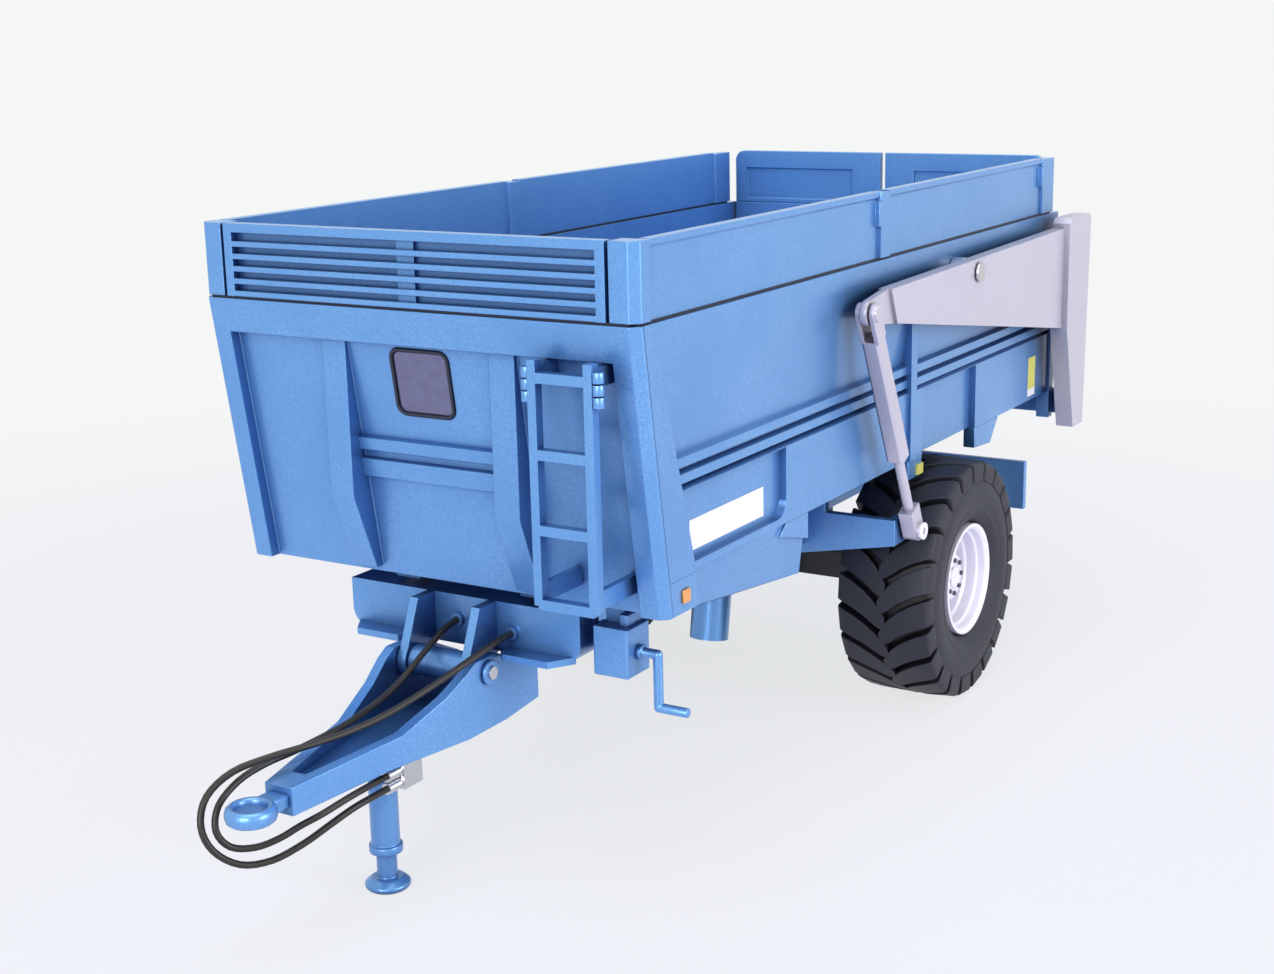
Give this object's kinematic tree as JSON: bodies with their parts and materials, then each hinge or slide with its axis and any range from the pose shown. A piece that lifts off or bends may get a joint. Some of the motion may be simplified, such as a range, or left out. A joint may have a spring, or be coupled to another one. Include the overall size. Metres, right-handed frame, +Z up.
{
  "type": "scale model tipping farm trailer",
  "caption": "Scale model of a single-axle tipping farm trailer with raised boards, a ram-tipped tub, a lifting tailgate on side arms, a jack and a towing eye.",
  "frame": {"origin": "middle of the bounding box, on the floor that the wheels and the jack stand on", "axes": "+X forward to the towing eye, +Y to the trailer's left, +Z up"},
  "size_m": [0.2028, 0.0864, 0.0913],
  "materials": {
    "blue_paint": "metallic gloss",
    "grey_paint": "satin",
    "bright_steel": "bright",
    "rim_paint": "silver satin",
    "tyre_rubber": "matte",
    "hose_rubber": "satin",
    "smoked_window": "gloss",
    "black_seal": "matte",
    "amber_lens": "gloss",
    "red_lens": "gloss",
    "black_paint": "satin"
  },
  "bodies": {
    "chassis": {"chassis_rails": "blue_paint", "cross_members": "blue_paint", "front_beam": "blue_paint", "drawbar": "blue_paint", "drawbar_pin": "bright_steel", "towing_eye": "blue_paint", "axle": "black_paint", "spring_blocks": "black_paint", "jack_tube": "blue_paint", "brake_box": "blue_paint", "brake_crank": "blue_paint", "light_board": "blue_paint", "lamps": "red_lens", "tipping_pin": "bright_steel", "hose_couplers": "bright_steel", "hose_left": "hose_rubber", "hose_right": "hose_rubber"},
    "tub": {"tub_floor": "blue_paint", "tub_runners": "blue_paint", "tub_front": "blue_paint", "tub_side_left": "blue_paint", "tub_side_right": "blue_paint", "skirt_left": "blue_paint", "skirt_right": "blue_paint", "tipping_lugs": "blue_paint", "cylinder_bracket_left": "blue_paint", "cylinder_bracket_right": "blue_paint", "arm_pins": "bright_steel", "window_glass": "smoked_window", "window_seal": "black_seal", "ladder": "blue_paint", "front_louvre": "blue_paint", "side_boards_left": "blue_paint", "side_boards_right": "blue_paint", "reflectors": "amber_lens"},
    "tailgate": {"tailgate_panel": "blue_paint", "tailgate_beams": "blue_paint", "lift_arm_left": "grey_paint", "lift_arm_right": "grey_paint", "rear_boards": "blue_paint"},
    "barrel_left": {"barrel_left": "grey_paint"},
    "barrel_right": {"barrel_right": "grey_paint"},
    "rod_left": {"rod_left": "grey_paint"},
    "rod_right": {"rod_right": "grey_paint"},
    "ram_barrel": {"ram_barrel": "blue_paint"},
    "ram_stage": {"ram_stage": "bright_steel"},
    "ram_rod": {"ram_rod": "bright_steel"},
    "jack_leg": {"jack_leg": "blue_paint"},
    "wheel_left": {"tyre_left": "tyre_rubber", "rim_left": "rim_paint"},
    "wheel_right": {"tyre_right": "tyre_rubber", "rim_right": "rim_paint"}
  },
  "joints": [
    {"name": "bed_tip", "type": "hinge", "parent": "chassis", "child": "tub", "pos_m": [-0.07888, 0, 0.0395], "axis": [0, -1, 0], "range_deg": [0, 45]},
    {"name": "tailgate_lift", "type": "hinge", "parent": "tub", "child": "tailgate", "pos_m": [-0.04417, 0, 0.0752], "axis": [0, 1, 0], "range_deg": [0, 15]},
    {"name": "wheel_left_spin", "type": "hinge", "parent": "chassis", "child": "wheel_left", "pos_m": [-0.04088, 0.0347, 0.0213], "axis": [0, 1, 0], "continuous": true},
    {"name": "wheel_right_spin", "type": "hinge", "parent": "chassis", "child": "wheel_right", "pos_m": [-0.04088, -0.0347, 0.0213], "axis": [0, 1, 0], "continuous": true},
    {"name": "jack_slide", "type": "slide", "parent": "chassis", "child": "jack_leg", "axis": [0, 0, 1], "range_m": [0, 0.0035]},
    {"name": "ram_swing", "type": "hinge", "parent": "chassis", "child": "ram_barrel", "pos_m": [-0.02637, 0, 0.0335], "axis": [0, -1, 0], "range_deg": [0, 12]},
    {"name": "ram_stage_slide", "type": "slide", "parent": "ram_barrel", "child": "ram_stage", "axis": [-0.1736, 0, 0.9848], "range_m": [0, 0.02]},
    {"name": "ram_rod_slide", "type": "slide", "parent": "ram_stage", "child": "ram_rod", "axis": [-0.1736, 0, 0.9848], "range_m": [0, 0.02]},
    {"name": "barrel_left_swing", "type": "hinge", "parent": "tailgate", "child": "barrel_left", "pos_m": [-0.00137, 0.04035, 0.074], "axis": [0, 1, 0], "range_deg": [-10, 0]},
    {"name": "rod_left_slide", "type": "slide", "parent": "barrel_left", "child": "rod_left", "axis": [-0.4333, 0, -0.9013], "range_m": [-0.011, 0]},
    {"name": "barrel_right_swing", "type": "hinge", "parent": "tailgate", "child": "barrel_right", "pos_m": [-0.00137, -0.04035, 0.074], "axis": [0, 1, 0], "range_deg": [-10, 0]},
    {"name": "rod_right_slide", "type": "slide", "parent": "barrel_right", "child": "rod_right", "axis": [-0.4333, 0, -0.9013], "range_m": [-0.011, 0]}
  ],
  "couplings": [
    {"joint": "ram_swing", "follows": "bed_tip", "ratio": 0.255},
    {"joint": "ram_stage_slide", "follows": "bed_tip", "m_per_rad": 0.02495},
    {"joint": "ram_rod_slide", "follows": "bed_tip", "m_per_rad": 0.02495},
    {"joint": "barrel_left_swing", "follows": "tailgate_lift", "ratio": -0.62},
    {"joint": "rod_left_slide", "follows": "tailgate_lift", "m_per_rad": -0.0401},
    {"joint": "barrel_right_swing", "follows": "tailgate_lift", "ratio": -0.62},
    {"joint": "rod_right_slide", "follows": "tailgate_lift", "m_per_rad": -0.0401}
  ]
}
